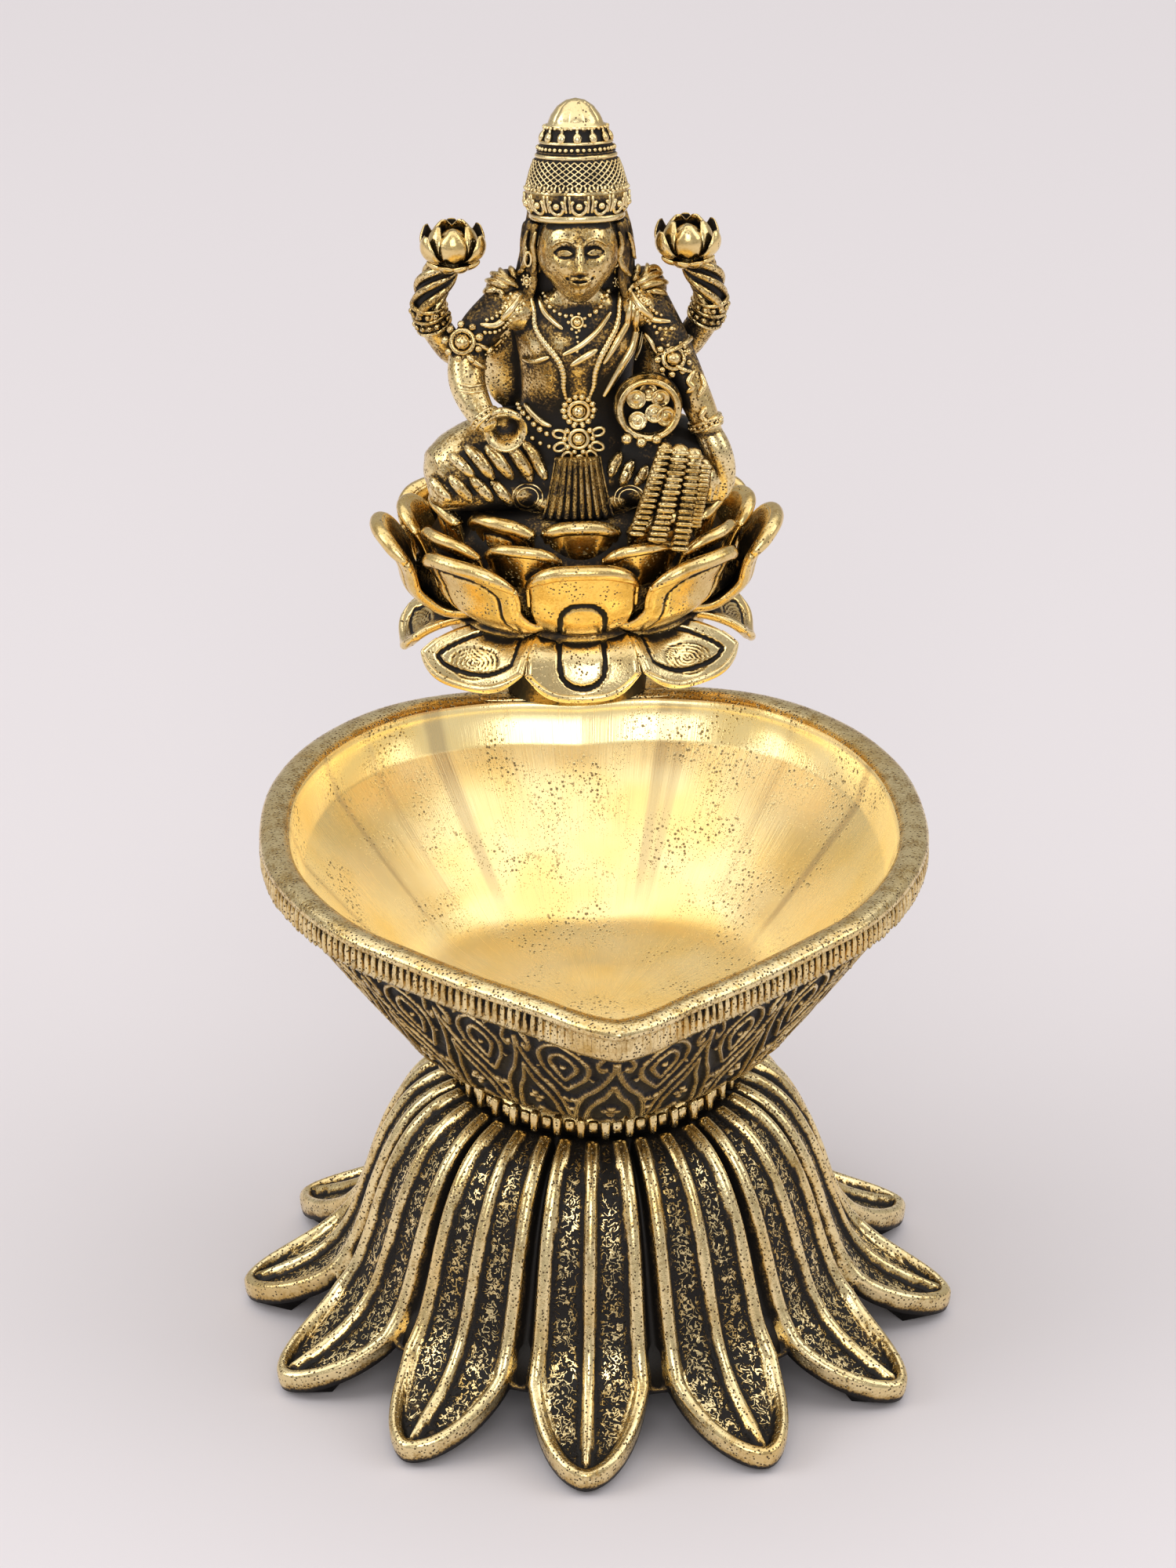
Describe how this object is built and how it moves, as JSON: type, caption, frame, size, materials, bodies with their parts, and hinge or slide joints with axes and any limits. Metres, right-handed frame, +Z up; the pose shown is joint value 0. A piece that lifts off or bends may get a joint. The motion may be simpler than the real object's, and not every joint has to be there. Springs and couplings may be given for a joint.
{
  "type": "brass oil lamp",
  "caption": "Cast brass oil lamp: flared petal foot, barred collar, leaf-shaped bowl with a pouring tip, and a lotus seat with a seated four-armed goddess.",
  "frame": {"origin": "on the table, under the middle of the whole lamp", "axes": "+Z up; -Y towards the bowl's pouring tip, the front; +Y towards the figure's back; +X to the right of someone facing the front"},
  "size_m": [0.0916, 0.108, 0.1493],
  "materials": {
    "antique_brass": "cast brass, polished on the high spots and darkened in the recesses",
    "polished_bowl": "cast brass, turned and polished inside, antiqued outside",
    "steel": "plain steel fasteners"
  },
  "bodies": {
    "root": {"petal_base": "antique_brass", "barred_collar": "antique_brass", "oil_bowl": "polished_bowl", "foot_washer": "steel", "foot_bolt": "steel", "lotus_lower_tier": "antique_brass", "lotus_upper_tier": "antique_brass", "seat_screw_right": "steel", "seat_screw_left": "steel", "seated_figure": "antique_brass", "crown": "antique_brass", "right_rear_arm": "antique_brass", "left_rear_arm": "antique_brass", "right_lotus_bud": "antique_brass", "left_lotus_bud": "antique_brass", "right_front_arm": "antique_brass", "left_front_arm": "antique_brass", "coin_pot": "antique_brass", "coin_stream": "antique_brass", "front_pleats": "antique_brass"}
  },
  "joints": []
}
